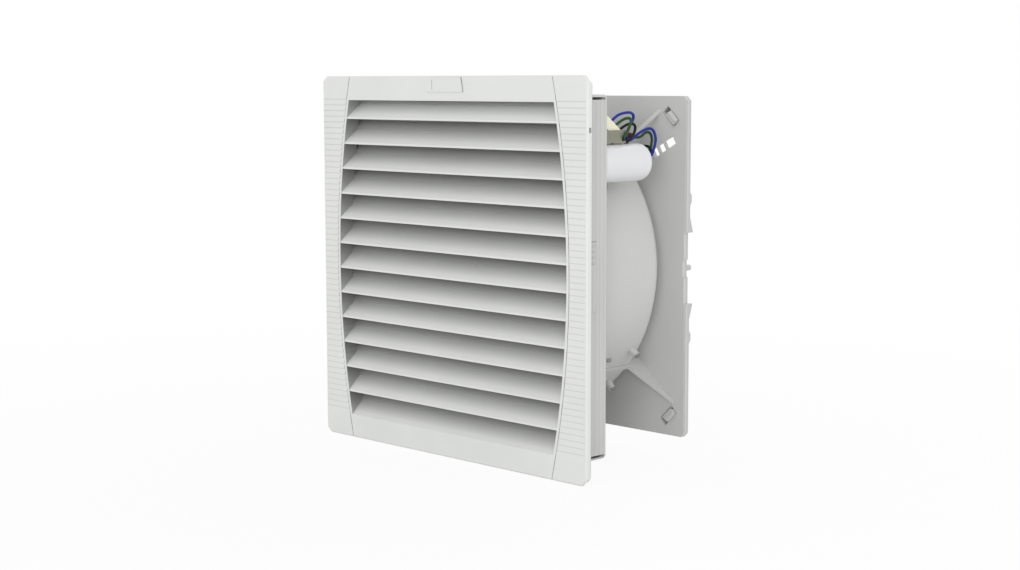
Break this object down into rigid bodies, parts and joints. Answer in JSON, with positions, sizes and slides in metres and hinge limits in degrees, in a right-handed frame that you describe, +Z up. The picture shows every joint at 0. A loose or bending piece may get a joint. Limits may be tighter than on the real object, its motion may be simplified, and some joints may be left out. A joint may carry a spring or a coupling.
{
  "type": "filter fan",
  "caption": "Cabinet filter fan: hinged louvred cover, filter mat and mounting box in front, round air duct with impeller, rear plate and guard grille behind.",
  "frame": {"origin": "centre of the panel cut-out, in the plane of the panel that the gasket presses on", "axes": "+Y into the cabinet along the air flow, +Z up, +X to the right when the louvred cover is seen from the front"},
  "size_m": [0.32, 0.1513, 0.32],
  "materials": {
    "cover_plastic": "light grey, fine satin texture",
    "frame_plastic": "light grey, satin",
    "housing_plastic": "grey, satin",
    "grille_plastic": "grey, satin",
    "impeller_plastic": "black, satin",
    "gasket_foam": "foam rubber",
    "filter_fibre": "loose white fibre",
    "steel": "zinc plated",
    "rotor_steel": "drawn steel",
    "core_steel": "stacked laminations",
    "motor_aluminium": "die cast",
    "copper": "enamelled copper",
    "capacitor_plastic": "white, smooth",
    "bracket_zinc": "zinc plated and passivated sheet",
    "terminal_plastic": "cream, smooth",
    "wire_blue": "insulation",
    "wire_green": "smooth plain green insulation",
    "wire_black": "insulation",
    "sleeve_plastic": "dark sleeve"
  },
  "bodies": {
    "housing": {"mounting_frame": "frame_plastic", "panel_gasket": "gasket_foam", "filter_mat": "filter_fibre", "hinge_pins": "steel", "fan_housing": "housing_plastic", "frame_screws": "steel", "inlet_ring": "housing_plastic", "inlet_screws": "steel", "rear_grille": "grille_plastic", "motor_flange": "motor_aluminium", "motor_screws": "steel", "bearing_front": "steel", "bearing_rear": "steel", "stator_core": "core_steel", "stator_windings": "copper", "capacitor": "capacitor_plastic", "capacitor_nut": "steel", "equipment_bracket": "bracket_zinc", "bracket_screws": "steel", "terminal_block": "terminal_plastic", "terminal_screws": "steel", "wire_blue": "wire_blue", "wire_green": "wire_green", "wire_black": "wire_black", "wire_earth": "wire_green", "motor_lead": "wire_black", "lead_sleeve": "sleeve_plastic"},
    "cover": {"front_cover": "cover_plastic", "badge_plate": "cover_plastic"},
    "left_clip": {"clip_left": "frame_plastic"},
    "right_clip": {"clip_right": "frame_plastic"},
    "rotor": {"rotor_shaft": "steel", "rotor_can": "rotor_steel", "rotor_core": "core_steel", "circlip": "core_steel", "impeller": "impeller_plastic"}
  },
  "joints": [
    {"name": "cover_hinge", "type": "hinge", "parent": "housing", "child": "cover", "pos_m": [0, -0.0034, -0.1567], "axis": [1, 0, 0], "range_deg": [0, 90]},
    {"name": "rotor_spin", "type": "hinge", "parent": "housing", "child": "rotor", "pos_m": [0, 0.1057, 0], "axis": [0, 1, 0], "continuous": true},
    {"name": "left_clip_press", "type": "slide", "parent": "housing", "child": "left_clip", "axis": [1, 0, 0], "range_m": [0, 0.003], "stiffness_N_per_m": 1500},
    {"name": "right_clip_press", "type": "slide", "parent": "housing", "child": "right_clip", "axis": [-1, 0, 0], "range_m": [0, 0.003], "stiffness_N_per_m": 1500}
  ]
}
